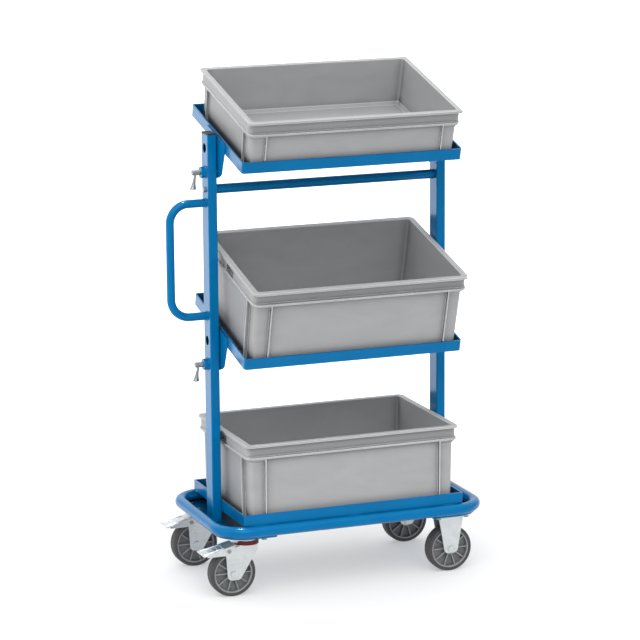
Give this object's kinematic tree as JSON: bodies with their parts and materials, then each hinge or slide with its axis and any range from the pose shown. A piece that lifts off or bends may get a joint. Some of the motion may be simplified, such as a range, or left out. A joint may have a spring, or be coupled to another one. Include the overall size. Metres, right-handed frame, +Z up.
{
  "type": "shelf trolley",
  "caption": "Push trolley with a tube base ring on casters, two uprights, tilting angle-frame shelves and open stacking crates, with a side push handle.",
  "frame": {"origin": "on the floor, at the middle of the trolley's overall length and depth", "axes": "+Z up, +X along the length away from the push handle, -Y towards the low front of the shelves"},
  "size_m": [0.8264, 0.4786, 1.3537],
  "materials": {
    "blue_paint": "smooth blue powder coat",
    "zinc": "bright zinc plate",
    "grey_crate": "satin moulded grey",
    "black_plastic": "matt black",
    "red_seal": "satin red",
    "tyre_rubber": "smooth dark grey rubber",
    "wheel_grey": "satin grey polyamide"
  },
  "bodies": {
    "frame": {"base_ring": "blue_paint", "left_end_plate": "blue_paint", "right_end_plate": "blue_paint", "base_tray": "blue_paint", "left_upright": "blue_paint", "right_upright": "blue_paint", "crossbar": "blue_paint", "push_handle": "blue_paint", "upper_clamp_bush": "blue_paint", "middle_clamp_bush": "blue_paint", "crossbar_inserts": "zinc", "crossbar_bolts": "zinc", "clamp_spacers": "zinc", "pivot_bolts": "zinc", "pivot_spacers": "zinc", "pivot_nuts": "zinc", "upper_clamp_stud": "zinc", "middle_clamp_stud": "zinc", "caster_bolts": "zinc", "caster_nuts": "zinc", "left_upright_cap": "black_plastic", "right_upright_cap": "black_plastic", "left_front_top_plate": "zinc", "left_front_kingpin": "zinc", "left_rear_top_plate": "zinc", "left_rear_kingpin": "zinc", "right_front_fork": "zinc", "right_front_axle": "zinc", "right_rear_fork": "zinc", "right_rear_axle": "zinc"},
    "upper_shelf": {"upper_tray": "blue_paint", "upper_left_bracket": "blue_paint", "upper_right_bracket": "blue_paint"},
    "middle_shelf": {"middle_tray": "blue_paint", "middle_left_bracket": "blue_paint", "middle_right_bracket": "blue_paint"},
    "bottom_crate": {"bottom_crate": "grey_crate"},
    "middle_crate": {"middle_crate": "grey_crate"},
    "top_crate": {"top_crate": "grey_crate"},
    "upper_lever": {"upper_clamp_lever": "zinc"},
    "middle_lever": {"middle_clamp_lever": "zinc"},
    "left_front_swivel": {"left_front_fork": "zinc", "left_front_seal_ring": "red_seal", "left_front_axle": "zinc", "left_front_pedal_rivets": "zinc"},
    "left_front_pedal": {"left_front_brake_pedal": "zinc"},
    "left_rear_swivel": {"left_rear_fork": "zinc", "left_rear_seal_ring": "red_seal", "left_rear_axle": "zinc", "left_rear_pedal_rivets": "zinc"},
    "left_rear_pedal": {"left_rear_brake_pedal": "zinc"},
    "left_front_wheel": {"left_front_tyre": "tyre_rubber", "left_front_rim": "wheel_grey"},
    "left_rear_wheel": {"left_rear_tyre": "tyre_rubber", "left_rear_rim": "wheel_grey"},
    "right_front_wheel": {"right_front_tyre": "tyre_rubber", "right_front_rim": "wheel_grey"},
    "right_rear_wheel": {"right_rear_tyre": "tyre_rubber", "right_rear_rim": "wheel_grey"}
  },
  "joints": [
    {"name": "upper_shelf_tilt", "type": "hinge", "parent": "frame", "child": "upper_shelf", "pos_m": [0.03075, 0.01547, 1.164], "axis": [1, 0, 0], "range_deg": [-14.5, 15.5]},
    {"name": "middle_shelf_tilt", "type": "hinge", "parent": "frame", "child": "middle_shelf", "pos_m": [0.03075, 0.01547, 0.6535], "axis": [1, 0, 0], "range_deg": [-14.5, 15.5]},
    {"name": "bottom_crate_lift", "type": "slide", "parent": "frame", "child": "bottom_crate", "axis": [0, 0, 1], "range_m": [0, 0.06]},
    {"name": "middle_crate_lift", "type": "slide", "parent": "middle_shelf", "child": "middle_crate", "axis": [0, -0.2504, 0.9681], "range_m": [0, 0.06]},
    {"name": "top_crate_lift", "type": "slide", "parent": "upper_shelf", "child": "top_crate", "axis": [0, -0.2504, 0.9681], "range_m": [0, 0.06]},
    {"name": "upper_lever_turn", "type": "hinge", "parent": "frame", "child": "upper_lever", "pos_m": [-0.30425, 0.01547, 1.101], "axis": [1, 0, 0], "range_deg": [-180, 0]},
    {"name": "middle_lever_turn", "type": "hinge", "parent": "frame", "child": "middle_lever", "pos_m": [-0.30425, 0.01547, 0.5905], "axis": [1, 0, 0], "range_deg": [-180, 0]},
    {"name": "left_front_swivel_turn", "type": "hinge", "parent": "frame", "child": "left_front_swivel", "pos_m": [-0.25725, -0.13653, 0.139], "axis": [0, 0, 1], "continuous": true},
    {"name": "left_front_wheel_spin", "type": "hinge", "parent": "left_front_swivel", "child": "left_front_wheel", "pos_m": [-0.29925, -0.13653, 0.0625], "axis": [0, 1, 0], "continuous": true},
    {"name": "left_front_pedal_press", "type": "hinge", "parent": "left_front_swivel", "child": "left_front_pedal", "pos_m": [-0.31325, -0.13653, 0.1265], "axis": [0, -1, 0], "range_deg": [0, 12]},
    {"name": "left_rear_swivel_turn", "type": "hinge", "parent": "frame", "child": "left_rear_swivel", "pos_m": [-0.25725, 0.16747, 0.139], "axis": [0, 0, 1], "continuous": true},
    {"name": "left_rear_wheel_spin", "type": "hinge", "parent": "left_rear_swivel", "child": "left_rear_wheel", "pos_m": [-0.29925, 0.16747, 0.0625], "axis": [0, 1, 0], "continuous": true},
    {"name": "left_rear_pedal_press", "type": "hinge", "parent": "left_rear_swivel", "child": "left_rear_pedal", "pos_m": [-0.31325, 0.16747, 0.1265], "axis": [0, -1, 0], "range_deg": [0, 12]},
    {"name": "right_front_wheel_spin", "type": "hinge", "parent": "frame", "child": "right_front_wheel", "pos_m": [0.31875, -0.13653, 0.0625], "axis": [0, 1, 0], "continuous": true},
    {"name": "right_rear_wheel_spin", "type": "hinge", "parent": "frame", "child": "right_rear_wheel", "pos_m": [0.31875, 0.16747, 0.0625], "axis": [0, 1, 0], "continuous": true}
  ]
}
